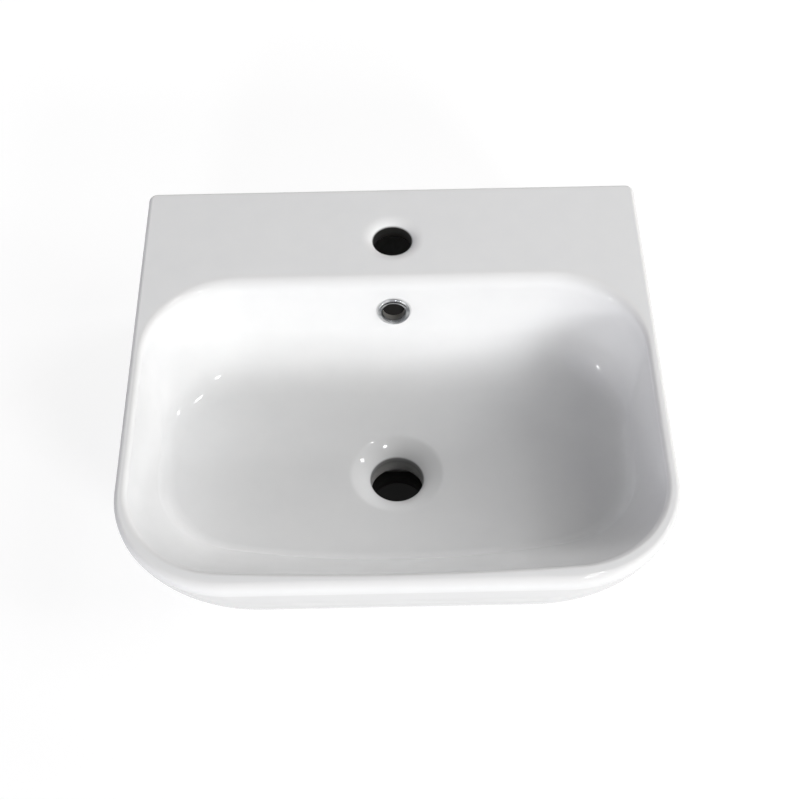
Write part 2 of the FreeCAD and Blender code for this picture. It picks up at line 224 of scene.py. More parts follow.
def floor_plan(edge, radius, count):
    """Straight blends, seen from above, from an outline to a circle, and how far each has gone."""
    blend = np.linspace(0, 1, count + 2)[1:-1, None, None]
    circle = np.stack([radius * np.cos(ring_angle), waste_y + radius * np.sin(ring_angle)], axis=-1)
    flat = edge + (circle - edge) * blend
    return flat, blend[..., 0]


def soft_start(run, reach):
    """Half the sum of the run plus the reach and its hypotenuse with the reach: a branch of a hyperbola. It
    grows like the run itself, from a soft start before zero."""
    return (run + reach + np.hypot(run + reach, reach)) / 2


FUNNEL_RINGS, SHOULDER_RINGS, FLOOR_RINGS = 16, 7, 18
funnel_drop, cone_part, shoulder_radius, shoulder_end, shoulder_gap = 10.5, 0.6, 14.0, 5.0, 1.0
quarter = np.radians(np.linspace(90, 0, FUNNEL_RINGS))
funnel_run = flare_radius - waste_radius
funnel_part = (1 - cone_part) * (1 - np.cos(quarter)) + cone_part * np.sin(quarter)
funnel_radius = flare_radius - funnel_run * np.sin(quarter)
funnel = np.stack([funnel_radius, flare_depth + funnel_drop * funnel_part], axis=1)
funnel_slope = math.atan(cone_part * funnel_drop / funnel_run)
shoulder_bend = np.linspace(funnel_slope, math.radians(shoulder_end), SHOULDER_RINGS)[1:]
shoulder = np.stack([
    flare_radius + shoulder_radius * (math.sin(funnel_slope) - np.sin(shoulder_bend)),
    flare_depth - shoulder_radius * (np.cos(shoulder_bend) - math.cos(funnel_slope))], axis=1)
flare = circles(np.concatenate([[(waste_radius, flare_depth + flare_drop)], funnel, shoulder]))
floor_flat, floor_blend = floor_plan(floor_edge, shoulder[-1, 0] + shoulder_gap, FLOOR_RINGS)
whole_run = np.linalg.norm(flare[-1, :, :2] - floor_edge[0], axis=-1) - shoulder_gap
side_reach, rear_reach = 3.0, 10.0
soft_reach = side_reach + (rear_reach - side_reach) * np.maximum(np.sin(turn), 0)
floor_slope = (shoulder[-1, 1] - bowl_depth) / soft_start(whole_run, soft_reach)
bowl_run = -np.linalg.norm(bowl[..., :2] - floor_edge, axis=-1)
bowl[..., 2] -= floor_slope * soft_start(bowl_run, soft_reach)
floor = lifted(floor_flat, bowl_depth + floor_slope * soft_start(whole_run * floor_blend, soft_reach))
print("floor falls from %.1f to %.1f mm" % (floor[..., 2].max(), floor[..., 2].min()))

# %% [markdown]
# Deck, rim and skirt
#
# The deck is flat, from the bowl's lip to the outer edge. The skirt goes down with a little draft at first
# and tucks in further below, more at the front than at the sides, while the back stays upright. Scaling one
# outline with depth would tuck in all sides alike, so each side has a law of its own. The rounded top edge
# is a quarter circle at the sides and back. At the front it is a larger circle, which turns a little
# further, until it meets the draft.

# %% Skirt outlines
draft = math.tan(math.radians(front_draft))
tuck_curve = (front_tuck - draft * height) / height ** 2
# The skirt leans more with depth, so the lean where the top edge ends is found in a few rounds.
rim_lean = math.radians(front_draft)
for attempt in range(8):
    rim_lean = math.atan(draft + 2 * tuck_curve * front_edge_radius * (1 + math.sin(rim_lean)))
rim_end = front_edge_radius * (1 + math.sin(rim_lean))
rim_end_inset = front_edge_radius * (1 - math.cos(rim_lean))
skin_front = front + rim_end_inset - draft * rim_end - tuck_curve * rim_end ** 2


def edge_inset(down, radius):
    """Inset of a rounded edge: its radius less the half chord of its circle at each depth."""
    return radius - np.sqrt(np.maximum(radius ** 2 - (down - radius) ** 2, 0))


def skin_outline(down, inset=0.0, rear_radius=back_corner_radius):
    """Outline of the skirt at each depth, set in by a wall: draft and a square law at the front, a cube law
    at the sides, and the arc of the rounded top edge where the depth is less than that."""
    part = down / height
    rim = np.where(down < rim_radius, edge_inset(down, rim_radius), 0)
    skin = skin_front + draft * down + tuck_curve * down ** 2
    front_round = np.where(down < rim_end, front + edge_inset(down, front_edge_radius) - skin, 0)
    half = width / 2 - side_tuck * part ** 3 - rim - inset
    radius = front_corner_radius + (foot_corner_radius - front_corner_radius) * part
    return outline(half, skin + front_round + inset, back - rim - inset,
                   radius - (rim + front_round) / 2 - inset, rear_radius - rim)


RIM_RINGS, SKIRT_RINGS, DECK_RINGS = 20, 30, 26
rim_turn = np.linspace(0, math.pi / 2 + rim_lean, RIM_RINGS)
rim_depths = front_edge_radius * (1 - np.cos(rim_turn))
skirt_depths = np.linspace(rim_end, height - foot_radius, SKIRT_RINGS)[1:]
skin_depths = np.concatenate([rim_depths, skirt_depths])
skin = lifted(skin_outline(column(skin_depths)), column(skin_depths))
deck_blend = np.linspace(0, 1, DECK_RINGS)[1:-1, None, None]
deck = bowl[0] + (skin[0] - bowl[0]) * deck_blend
print("deck rings: %d, skirt rings: %d" % (len(deck), len(skin)))

# %% [markdown]
# Foot and underside
#
# The basin stands on the lower edge of its skirt, which is left without glaze, and is open below. A Solidify
# modifier could make the wall, but it would cross itself where the skirt meets the bowl. Here the surface
# climbs inside the skirt until it meets the outside of the bowl or the underside of the deck. At the sides
# the two walls are one thickness of china, so it turns back low down, and behind the bowl it climbs all the
# way. The turning depth is found for each outline point from the room between the two walls.

# %% Foot and inside of the skirt
foot_turn = np.radians(np.linspace(0, 90, 5)[1:])
foot_inset = column(foot_radius * (1 - np.cos(foot_turn)))
foot_depths = column(height - foot_radius * (1 - np.sin(foot_turn)))
foot_edge = lifted(skin_outline(foot_depths, foot_inset), foot_depths)
inner_corner, sole_round, boss_foot_radius = 3.0, 1.5, 46.0
sole_inset = column(np.linspace(foot_radius, skirt_wall - sole_round, 5)[1:])
sole = lifted(skin_outline(np.full_like(sole_inset, height), sole_inset), height)
block_stretch = 1 + bowl_wall / bowl_depth
block_depth = bowl_depth * block_stretch


def skirt_inside(down):
    """The skirt's inner face at each depth: its outline set in by the wall, with sharper rear corners."""
    return skin_outline(down, skirt_wall, inner_corner)


def bowl_outside(down):
    """The bowl's outer face: the bowl's outline without lips, grown and stretched downwards by the wall."""
    return bowl_outline(down / block_stretch, bowl_wall, no_lips)


least_room, smoothing = 5.0, 6
probe = column(np.linspace(block_depth, deck_thickness, 91))
room = np.linalg.norm(skirt_inside(probe) - bowl_outside(probe), axis=-1)
outside = np.linalg.norm(skirt_inside(probe), axis=-1) > np.linalg.norm(bowl_outside(probe), axis=-1)
open_run = np.cumprod((room > least_room) & outside, axis=0).astype(bool)
turning = np.where(open_run, probe, block_depth).min(axis=0)
spread = np.arange(-smoothing, smoothing + 1)
turning = turning[(np.arange(POINTS)[:, None] + spread) % POINTS].mean(axis=1)
print("inside of the skirt turns back between %.0f and %.0f mm deep" % (turning.max(), turning.min()))

# %% Underside rings
# A ring close to each bend keeps the shading of the two faces apart.
climb = column(np.concatenate([[0.0, 0.01], np.linspace(0, 1, 21)[1:-1], [0.985, 1.0]]))
climb_depths = (height - sole_round) + (turning - height + sole_round) * climb
inside = lifted(skirt_inside(climb_depths), climb_depths)
outer_top, inner_top = skirt_inside(turning[None]), bowl_outside(turning[None])
cross = column(np.concatenate([[0.015], np.linspace(0, 1, 25)[1:-1], [0.985]]))
ceiling = lifted(outer_top + (inner_top - outer_top) * cross[..., None], turning[None])
descent = column(np.concatenate([[0.0, 0.015], np.linspace(0, 1, 17)[1:]]))
descent_depths = turning + (block_depth - turning) * descent
bowl_back_face = lifted(bowl_outside(descent_depths), descent_depths)
under_edge = bowl_outside(np.array([[block_depth]]))
under_flat, under_blend = floor_plan(under_edge, boss_foot_radius, 8)
under_floor = lifted(under_flat, block_depth + floor_fall * under_blend)
print("underside rings:", len(inside) + len(ceiling) + len(bowl_back_face) + len(under_floor))


# %% [markdown]
# Corners of turned profiles
#
# The boss under the waste, the trim and the rings are turned shapes. Their profiles are lists of corners,
# and every corner gets a small arc, because cast china and plated metal have no knife edges, and because a
# smooth surface needs a few rings close together wherever it turns. A Bevel modifier would do it after the
# turning, but arcs in the profile can each have a radius of their own.

# %% Rounded profiles
def rounded(corners, radii, steps=4):
    """Each corner of a closed profile becomes an arc that touches both of its sides: its centre lies on the
    bisector, and its turn is half a circle less the corner's angle."""
    here = np.asarray(corners, float)
    radius = np.broadcast_to(np.asarray(radii, float), len(here))[:, None]
    before, after = np.roll(here, 1, axis=0) - here, np.roll(here, -1, axis=0) - here
    before /= np.linalg.norm(before, axis=1, keepdims=True)
    after /= np.linalg.norm(after, axis=1, keepdims=True)
    angle = np.arccos(np.clip((before * after).sum(axis=1, keepdims=True), -1, 1))
    middle = (before + after) / np.linalg.norm(before + after, axis=1, keepdims=True)
    centre = here + middle * radius / np.sin(angle / 2)
    start = here + before * radius / np.tan(angle / 2) - centre
    side = np.sign(before[:, :1] * after[:, 1:] - before[:, 1:] * after[:, :1])
    sweep = np.arctan2(start[:, 1:], start[:, :1]) - side * (np.pi - angle) * np.linspace(0, 1, steps)
    arc = np.stack([np.cos(sweep), np.sin(sweep)], axis=-1) * radius[..., None]
    return (centre[:, None] + arc).reshape(-1, 2)


chamber_gap, chamber_height, boss_wall, clamp_plate, boss_lift = 13.0, 13.0, 7.0, 9.0, 1.5
chamber_radius = waste_radius + chamber_gap
boss_radius = chamber_radius + boss_wall
boss_end = height - boss_lift
chamber_end = boss_end - clamp_plate
chamber_start = chamber_end - chamber_height
collar_start = flare_depth + flare_drop + 0.5
# The last corner only closes the profile. Its arc is cut off, and so is half of each arc beside it.
closing_radius = 80.0
boss_corners = [
    (boss_foot_radius, block_depth + floor_fall), (boss_radius, collar_start), (boss_radius, boss_end),
    (waste_radius, boss_end), (waste_radius, chamber_end), (chamber_radius, chamber_end),
    (chamber_radius, chamber_start), (waste_radius, chamber_start), (waste_radius, collar_start),
    (closing_radius, collar_start)]
boss_profile = rounded(boss_corners, [0.5, 2.5, 2.0, 1.2, 1.2, 1.5, 1.5, 1.2, 0.2, 0.5])[2:-6]
boss = circles(boss_profile)
print("boss rings:", len(boss))

# %% [markdown]
# One closed mesh
#
# Surfaces that only lie edge to edge would show a seam in the glaze. So all rings follow one another from
# the flare, over the bowl, deck, skirt, foot and underside, back to the waste hole, and the casting is one
# closed surface with the hole through its middle. Three numbers go with each ring for the finish: how thick
# the glaze is, how far an edge has drawn it thin in the kiln, and the painted shade on a hole's wall.

# %% Rings in order
stages = {
    "flare": flare, "floor": floor[::-1], "bowl": bowl[::-1], "deck": deck, "skin": skin,
    "foot edge": foot_edge, "sole": sole, "inside": inside, "ceiling": ceiling,
    "bowl outside": bowl_back_face, "under floor": under_floor, "boss": boss,
}
glaze_of = {"foot edge": 0.5, "sole": 0.0, "inside": 0.6, "ceiling": 0.6, "bowl outside": 0.6,
            "under floor": 0.6, "boss": 0.6}
rings = np.concatenate(list(stages.values()))
counts = np.array([len(stage) for stage in stages.values()])
first_ring = dict(zip(stages, np.cumsum(counts) - counts))
GLAZE, THIN, PAINTED_SHADE = 0, 1, 2
lip_thin_reach, rim_thin_depth, rim_thin_reach = 4.0, 1.2, 1.8
lip_thin = np.exp(-(bowl_depths[::-1] / lip_thin_reach) ** 2)
rim_thin = np.exp(-((skin_depths - rim_thin_depth) / rim_thin_reach) ** 2)
finish = np.zeros((len(rings), 3))
finish[:, GLAZE] = np.repeat([glaze_of.get(name, 1.0) for name in stages], counts)
finish[first_ring["bowl"]:first_ring["deck"], THIN] = lip_thin
finish[first_ring["skin"]:first_ring["foot edge"], THIN] = rim_thin
# Painted shade: dark on the collar's top, paler lower down, darkest in the chamber and the bore below it.
boss_across, boss_down = boss_profile.T
in_waste = boss_across < chamber_radius + 1
on_collar = (boss_across < waste_radius + 1.5) & (boss_down < chamber_start + 0.5)
collar_painted_shade = np.interp(boss_down - collar_start, [0, 4, 8], [0.76, 0.72, 0.3])
finish[first_ring["boss"]:, PAINTED_SHADE] = np.where(in_waste, np.where(on_collar, collar_painted_shade, 1), 0)
# The funnel's lowest millimetres, where it drops into the waste hole, get painted shade as well.
flare_down = height - flare[:, 0, 2] - flare_depth
finish[:len(flare), PAINTED_SHADE] = np.interp(flare_down, [8.6, 9.4], [0, 0.72])
keep = np.ones(rings.shape[:2], bool)
print("rings: %d, points: %d" % (len(rings), rings[..., 0].size))

# %% [markdown]
# Tap hole
#
# The tap stands in a round hole through the deck, with a wide soft lip above and a flat pad below for its
# nut. A Boolean could cut it, but its thin faces would spoil the gloss of the lip. Here a block of faces is
# taken out of the grid above and below, and circles lead from one opening through the hole to the other.


# %% Holes through the casting
RIGHT, TO_WALL, UP = np.eye(3)
LEAD_SHARES = np.array([0.3, 0.6, 0.85])


def quads_between(here, there):
    """Four-sided faces between rows of point numbers and the rows after them, closed round the row."""
    return np.stack([here, there, np.roll(there, -1, axis=1), np.roll(here, -1, axis=1)], axis=-1)


class Casting:
    """The points and faces of the casting, to which holes are added."""

    def __init__(self):
        self.points, self.finish, self.faces, self.tips, self.total = [], [], [], [], 0

    def add(self, points, finish):
        """Adds rows of points, with one finish for each row, and returns the points' numbers in rows."""
        rows, count = points.shape[:2]
        numbers = self.total + np.arange(rows * count).reshape(rows, count)
        self.points.append(points.reshape(-1, 3))
        self.finish.append(np.repeat(finish, count, axis=0))
        self.total += rows * count
        return numbers

    def join(self, rows):
        """Adds the faces between each row of numbers and the next."""
        self.faces.append(quads_between(rows[:-1], rows[1:]).reshape(-1, 4))


def window(first, last, left, right):
    """Takes a block of faces out of the casting and returns the points round it, in order."""
    keep[first:last, left:right] = False
    across, up = np.arange(left, right), np.arange(first, last)
    ring = np.concatenate([np.full_like(across, first), up, np.full_like(across, last), up[::-1] + 1])
    point = np.concatenate([across, np.full_like(up, right), across[::-1] + 1, np.full_like(up, left)])
    return ring * POINTS + point


def angles_round(points, centre, out):
    """The angle of each point about an axis, from the right."""
    return np.arctan2((points - centre) @ np.cross(out, RIGHT), (points - centre) @ RIGHT)


def hole_rings(edge, centre, out, profile):
    """Circles of a hole: for each radius and depth, the centre plus the radius in the direction of each edge
    point, sunk by the depth. Three blends lead from the edge to the first circle."""
    angle = angles_round(edge, centre, out)
    spoke = np.cos(angle)[:, None] * RIGHT + np.sin(angle)[:, None] * np.cross(out, RIGHT)
    profile = np.asarray(profile, float)
    circle = centre + profile[:, :1, None] * spoke - profile[:, 1:, None] * out
    lead = edge + (circle[0] - edge) * LEAD_SHARES[:, None, None]
    return np.concatenate([lead, circle])


def through_hole(near_loop, far_loop, centre, out, profile, finish_of):
    """Joins two windows by the circles of a hole. The far window's points are turned round and shifted until
    their angles are nearest to those of the near window. The finish is a function of the circles."""
    circles_in = hole_rings(grid_points[near_loop], centre, out, profile)
    near = angles_round(grid_points[near_loop], centre, out)
    far_loop = far_loop[::-1]
    far = angles_round(grid_points[far_loop], centre, out)
    shifts = (np.arange(len(far_loop))[:, None] + np.arange(len(far_loop))) % len(far_loop)
    error = np.abs(np.angle(np.exp(1j * (far[shifts] - near)))).sum(axis=1)
    numbers = china.add(circles_in, finish_of(circles_in))
    china.join(np.concatenate([near_loop[None], numbers, far_loop[shifts[error.argmin()]][None]]))


grid_points = rings.reshape(-1, 3)
china = Casting()
china.add(rings, finish)
print("casting starts with %d points" % china.total)


# %% Tap hole
def nearest(values, target):
    """Index of the value nearest to a target."""
    return int(np.abs(np.asarray(values) - target).argmin())


def arc_profile(radius, flow, lip, steps):
    """A quarter ellipse from a flat face into a hole, which is wider by the flow where it starts."""
    bend = np.radians(np.linspace(0, 90, steps))
    return np.stack([radius + flow * (1 - np.sin(bend)), lip * (1 - np.cos(bend))], axis=1)


tap_y, tap_radius, tap_lip, tap_flow, tap_pad, pad_drop = 151.0, 17.5, 5.5, 12.0, 27.5, 4.0
tap_reach, tap_cells, tap_thin = 37.0, 7, 2.0
tap_columns = REAR_MIDDLE - tap_cells, REAR_MIDDLE + tap_cells
tap_centre = np.array([0.0, tap_y, height])
deck_rows = rings[first_ring["deck"]:first_ring["skin"], REAR_MIDDLE, 1]
tap_first = first_ring["deck"] + nearest(deck_rows, tap_y - tap_reach)
tap_last = first_ring["deck"] + nearest(deck_rows, tap_y + tap_reach)
tap_loop = window(tap_first, tap_last, *tap_columns)
ceiling_rows = rings[first_ring["ceiling"]:first_ring["bowl outside"], REAR_MIDDLE, 1]
under_first = first_ring["ceiling"] + nearest(ceiling_rows, tap_y + tap_reach)
under_loop = window(under_first, under_first + tap_last - tap_first, *tap_columns)
pad_bottom = deck_thickness + pad_drop
tap_profile = np.concatenate([
    arc_profile(tap_radius, tap_flow, tap_lip, 17),
    [(tap_radius, 6.0), (tap_radius, 10.0), (tap_radius, pad_bottom - 1),
     (tap_radius + 0.3, pad_bottom - 0.3), (tap_radius + 1, pad_bottom), (tap_pad - 1.5, pad_bottom),
     (tap_pad - 0.4, pad_bottom - 0.4), (tap_pad, pad_bottom - 1.5), (tap_pad, deck_thickness + 0.4),
     (tap_pad + 0.4, deck_thickness)]])


def tap_finish(circles_in):
    """Glazed, thin where the lip bends, with painted shade below it, but not outside the lip or on the pad.
    """
    down = height - circles_in[:, 0, 2]
    inside_lip = np.linalg.norm(circles_in[:, 0, :2] - tap_centre[:2], axis=1) < tap_radius + tap_flow
    thin = np.exp(-((down - tap_thin) / tap_thin) ** 2)
    # Painted shade on the hole's wall, from just below the lip down.
    dark = np.interp(down, [tap_lip - 2.5, tap_lip - 1], [0, 1])
    return np.stack([np.ones(len(down)), thin * inside_lip, dark * inside_lip], axis=1)


through_hole(tap_loop, under_loop, tap_centre, UP, tap_profile, tap_finish)
print("tap hole: %d points round it" % len(tap_loop))

# %% [markdown]
# Overflow hole and bolt holes
#
# The overflow hole goes into the bowl's rear wall, square to its slope, and ends in the dark. A shallow flat
# seat round it takes the trim. The two bolt holes go straight through the back. All are made as the tap hole
# is, from other profiles, and the overflow's last circle is closed by one face.

# %% Overflow hole
rear_lean = math.radians(slopes["rear"])
overflow_drop, hole_radius, seat_radius, seat_sink = 34.0, 12.65, 15.4, 0.4
overflow_out = np.array([0.0, -math.cos(rear_lean), math.sin(rear_lean)])
overflow_wall = np.array([0.0, bowl_back - overflow_drop * math.tan(rear_lean), height - overflow_drop])
overflow_reach, overflow_cells = 19.0, 5
bowl_rows = height - rings[first_ring["bowl"]:first_ring["deck"], REAR_MIDDLE, 2]
low_row = first_ring["bowl"] + nearest(bowl_rows, overflow_drop + overflow_reach)
high_row = first_ring["bowl"] + nearest(bowl_rows, overflow_drop - overflow_reach)
overflow_loop = window(low_row, high_row, REAR_MIDDLE - overflow_cells, REAR_MIDDLE + overflow_cells)
hole_end_radius, hole_end = 6.0, 22.0
overflow_profile = [(seat_radius + 0.6, 0), (seat_radius + 0.1, 0.05), (seat_radius, seat_sink - 0.05),
                    (seat_radius - 0.1, seat_sink), (hole_radius + 0.8, seat_sink), (hole_radius + 0.2, 0.6),
                    *[(hole_radius, down) for down in (1.2, 5, 10, 16)], (hole_end_radius, hole_end)]
overflow_rings = hole_rings(grid_points[overflow_loop], overflow_wall, overflow_out, overflow_profile)
overflow_down = (overflow_wall - overflow_rings[:, 0]) @ overflow_out
# Painted shade darkens the hole's wall from the seat inwards.
overflow_finish = np.stack([np.ones(len(overflow_down)), np.zeros(len(overflow_down)),
                            np.interp(overflow_down, [seat_sink, 1.5], [0, 0.95])], axis=1)
overflow_numbers = china.add(overflow_rings, overflow_finish)
china.join(np.concatenate([overflow_loop[None], overflow_numbers]))
china.tips.append(overflow_numbers[-1])
print("overflow hole: %d points round it" % len(overflow_loop))

# %% Bolt holes
bolt_radius, bolt_x, bolt_drop, bolt_reach, bolt_cells, bolt_glaze = 7.0, 140.0, 45.0, 17.0, 3, 0.8
bolt_edge, bolt_ease = 1.2, 0.3
bolt_lip = [(bolt_radius + bolt_edge, 0.0), (bolt_radius + bolt_ease, bolt_ease), (bolt_radius, bolt_edge)]
bolt_profile = [*bolt_lip, (bolt_radius, skirt_wall / 2),
                *[(radius, skirt_wall - down) for radius, down in reversed(bolt_lip)]]
outer_first = first_ring["skin"] + nearest(skin_depths, bolt_drop - bolt_reach)
outer_last = first_ring["skin"] + nearest(skin_depths, bolt_drop + bolt_reach)
inner_first = first_ring["inside"] + nearest(climb_depths[:, REAR_MIDDLE], bolt_drop + bolt_reach)
inner_last = inner_first + outer_last - outer_first
back_x = np.where(np.isclose(rings[outer_first, :, 1], back), rings[outer_first, :, 0], np.inf)


def bolt_finish(circles_in):
    """A thinner glaze, with no thin edge and no painted shade."""
    return np.tile([bolt_glaze, 0.0, 0.0], (len(circles_in), 1))


for x in (-bolt_x, bolt_x):
    bolt_point = nearest(back_x, x)
    bolt_columns = bolt_point - bolt_cells, bolt_point + bolt_cells
    outer_loop = window(outer_first, outer_last, *bolt_columns)
    inner_loop = window(inner_first, inner_last, *bolt_columns)
    bolt_centre = np.array([x, back, height - bolt_drop])
    through_hole(outer_loop, inner_loop, bolt_centre, TO_WALL, bolt_profile, bolt_finish)
print("bolt holes: %d points round each" % len(outer_loop))

# %% [markdown]
# Into Blender
#
# The arrays become a mesh at the origin, with smooth faces that point outwards. Blender can recalculate
# normals, but on a closed surface the sign of the volume already tells which way they point. Points that no
# face uses are left out. Each piece is told which body it rides on and which solid it replaces.


# %% Mesh of the casting
def new_piece(name, points, faces, attributes=()):
    """A mesh object at the origin from points in millimetres, turned the right way out: the volume in its
    faces is the sum of their tetrahedra to the origin, and if it is negative, all faces are flipped."""
    points = np.asarray(points, float) * MM
    mesh = bpy.data.meshes.new(name)
    mesh.from_pydata(points.tolist(), [], faces)
    mesh.update()
    mesh.calc_loop_triangles()
    corners = np.empty(len(mesh.loop_triangles) * 3, np.int32)
    mesh.loop_triangles.foreach_get("vertices", corners)
    a, b, c = points[corners.reshape(-1, 3)].transpose(1, 0, 2)
    volume = np.einsum("ij,ij->", a, np.cross(b, c)) / 6
    if volume < 0:
        mesh.flip_normals()
    mesh.polygons.foreach_set("use_smooth", np.ones(len(mesh.polygons), bool))
    for label, values in attributes:
        attribute = mesh.attributes.new(label, "FLOAT", "POINT")
        attribute.data.foreach_set("value", np.asarray(values, np.float32))
    piece = bpy.data.objects.new(name, mesh)
    bpy.context.scene.collection.objects.link(piece)
    print("%s: %d points, %d faces, %.1f ml" % (name, len(points), len(mesh.polygons), abs(volume) * 1e6))
    return piece


def belongs(piece, body, node):
    """Lets a piece ride on a body, in the place of a solid, which it hides."""
    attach(piece, body)
    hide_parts(node)


ring_numbers = np.arange(len(grid_points)).reshape(rings.shape[:2])
ring_quads = quads_between(ring_numbers, np.roll(ring_numbers, -1, axis=0))[keep]
quads = np.concatenate([ring_quads] + china.faces)
used = np.unique(quads)
renumbered = np.zeros(china.total, int)
renumbered[used] = np.arange(len(used))
faces = renumbered[quads].tolist() + [renumbered[tip].tolist() for tip in china.tips]
# The third value on the points is painted shade on the walls of the holes.
casting = new_piece("china_casting", np.concatenate(china.points)[used], faces,
                    zip(("glaze", "thin_glaze", "painted_hole_shade"), np.concatenate(china.finish)[used].T))
belongs(casting, "basin", "basin_body")

# %% [markdown]
# Overflow duct
#
# Water that rises to the overflow runs down a duct behind the bowl and forward under its floor to the waste.
# On the real basin it is part of the casting and shows only from below. A bevelled curve would keep one
# section, but this duct fills the space between two lines. So it is a section carried along both: its outer
# side follows the duct's back and its bend, and its inner side stays inside the bowl's wall. It ends inside
# the wall of the boss round the waste. Its inner side carries painted shade, and closes the overflow hole
# some millimetres behind the wall.

# %% Overflow duct
duct_half, duct_back, duct_low, duct_fall, duct_bend = 27.0, 125.5, 3.5, 8.0, 31.0
duct_edge, duct_top, boss_middle_radius = 4.0, 11.0, 39.5
DOWN_ROWS, BEND_ROWS, LEVEL_ROWS = 12, 14, 12
forward = np.array([waste_y - duct_back, -duct_fall])
forward /= np.linalg.norm(forward)
knee = np.array([duct_back, duct_low + duct_fall])
bend_turn = math.acos(-forward[1])
setback = duct_bend * math.tan(bend_turn / 2)
bend_centre = knee + np.array([-duct_bend, setback])
straight_z = np.linspace(height - duct_top, knee[1] + setback, DOWN_ROWS + 1)[:-1]
straight = np.stack([np.full(DOWN_ROWS, duct_back), straight_z], axis=1)
knee_bend = -np.linspace(0, bend_turn, BEND_ROWS)
curve = bend_centre + duct_bend * np.stack([np.cos(knee_bend), np.sin(knee_bend)], axis=1)
level_share = np.linspace(0, 1, LEVEL_ROWS + 1)[1:, None]
level = curve[-1] + (np.array([waste_y, duct_low]) - curve[-1]) * level_share
outer_side = np.concatenate([straight, curve, level])
mid_wall = np.linspace(duct_top, bowl_depth, DOWN_ROWS + BEND_ROWS)
wall_y = bowl_back + bowl_wall / 2 - wall_inset(mid_wall, "rear", 0.0)
wall_z = height - mid_wall * (1 + bowl_wall / 2 / bowl_depth)
under = np.linspace([wall_y[-1], wall_z[-1]], [waste_y, wall_z[-1] - floor_fall], LEVEL_ROWS + 1)[1:]
inner_side = np.concatenate([np.stack([wall_y, wall_z], axis=1), under])
edge_arc = np.radians(np.linspace(0, 90, 5))
edge_x = duct_half - duct_edge + duct_edge * np.sin(edge_arc)
edge_rise = duct_edge * (1 - np.cos(edge_arc))
section_x = np.concatenate([-edge_x[::-1], edge_x, [duct_half, duct_half, -duct_half, -duct_half]])
section_rise = np.concatenate([edge_rise[::-1], edge_rise, np.zeros(4)])
section_far = np.concatenate([np.zeros(2 * len(edge_arc)), [0.97, 1, 1, 0.97]])
# The far side of the section, seen through the overflow hole, gets painted shade.
section_painted_shade = (section_far == 1).astype(float)


def carried(outer_line, inner_line):
    """The section along the path: x from the section, and y and z from the outer line, raised towards the
    inner line by the section's rise, or lying on the inner line for the section's far corners."""
    towards = inner_line - outer_line
    unit = towards / np.linalg.norm(towards, axis=1, keepdims=True)
    spot = (outer_line[:, None] + unit[:, None] * section_rise[None, :, None]
            + towards[:, None] * section_far[None, :, None])
    x = np.broadcast_to(section_x, spot.shape[:2])[..., None]
    return np.concatenate([x, spot], axis=-1)


def woven(rows, columns, closed_rows):
    """Four-sided faces of a grid whose columns close on themselves, and whose rows may."""
    numbers = np.arange(rows * columns).reshape(rows, columns)
    quads = quads_between(numbers, np.roll(numbers, -1, axis=0))
    return (quads if closed_rows else quads[:-1]).reshape(-1, 4), numbers


duct = carried(outer_side, inner_side)
duct_end = waste_y + np.sqrt(boss_middle_radius ** 2 - section_x ** 2)
under_part = (duct[..., 1] - waste_y) / (wall_y[-1] - waste_y)
duct[..., 1] = np.where(under_part < 1, duct_end + under_part * (wall_y[-1] - duct_end), duct[..., 1])
duct_quads, duct_numbers = woven(*duct.shape[:2], False)
duct_faces = duct_quads.tolist() + [duct_numbers[0].tolist(), duct_numbers[-1][::-1].tolist()]
duct_piece = new_piece("overflow_duct", duct.reshape(-1, 3), duct_faces,
                       [("glaze", np.full(duct[..., 0].size, glaze_of["under floor"])),
                        ("painted_hole_shade", np.tile(section_painted_shade, len(duct)))])
belongs(duct_piece, "basin", "basin_body")

# %% [markdown]
# Overflow trim
#
# The trim is a turned brass ring with bright plating: a flange with a rounded rim and a softly rolled mouth,
# and a sleeve with two grooves for rubber rings. Each piece is a closed profile turned about the axis of the
# overflow hole. A bevel on a plain ring could do it too, but the profile shows what the lathe would cut.

# %% Turned pieces
overflow_seat = overflow_wall - seat_sink * overflow_out
trim_up = np.cross(overflow_out, RIGHT)


def turned(name, profile, segments, node, tones=()):
    """A closed profile of radius and height above the seat, turned about the overflow's axis. Tones are
    named values of the profile's points."""
    angle = np.linspace(0, 2 * np.pi, segments, endpoint=False)
    spoke = np.cos(angle)[:, None] * RIGHT + np.sin(angle)[:, None] * trim_up
    points = overflow_seat + profile[None, :, :1] * spoke[:, None] + profile[None, :, 1:] * overflow_out
    quads, numbers = woven(segments, len(profile), True)
    attributes = [(label, np.tile(values, segments)) for label, values in tones]
    piece = new_piece(name, points.reshape(-1, 3), quads.tolist(), attributes)
    belongs(piece, "overflow_trim", node)
    return piece


BEZEL_SEGMENTS, RING_SEGMENTS, SECTION_POINTS = 128, 96, 20
washer_bore, washer_radius, washer_thickness = 12.3, 14.2, 0.8
flange, bezel_radius, sleeve_radius, bore = 2.2, 14.6, 12.2, 10.0
face, sleeve_end = washer_thickness + flange, -12.0
grip_section, grip_radius = 1.5, 11.8
front_grip, rear_grip, groove_half, groove_floor = -3.5, -7.5, 0.95, 11.0
groove = [(sleeve_radius, -groove_half), (groove_floor, -groove_half),
          (groove_floor, groove_half), (sleeve_radius, groove_half)]
bezel_corners = [
    (bore, sleeve_end), (sleeve_radius, sleeve_end),
    *[(radius, grip + beside) for grip in (rear_grip, front_grip) for radius, beside in groove],
    (sleeve_radius, washer_thickness), (bezel_radius, washer_thickness), (bezel_radius, face), (bore, face),
]
small_round, rim_round, mouth_round = 0.15, 0.9, 1.6
bezel_rounds = [0.2, 0.5] + 9 * [small_round] + [0.2, rim_round, mouth_round]
bezel_profile = rounded(bezel_corners, bezel_rounds, 7)
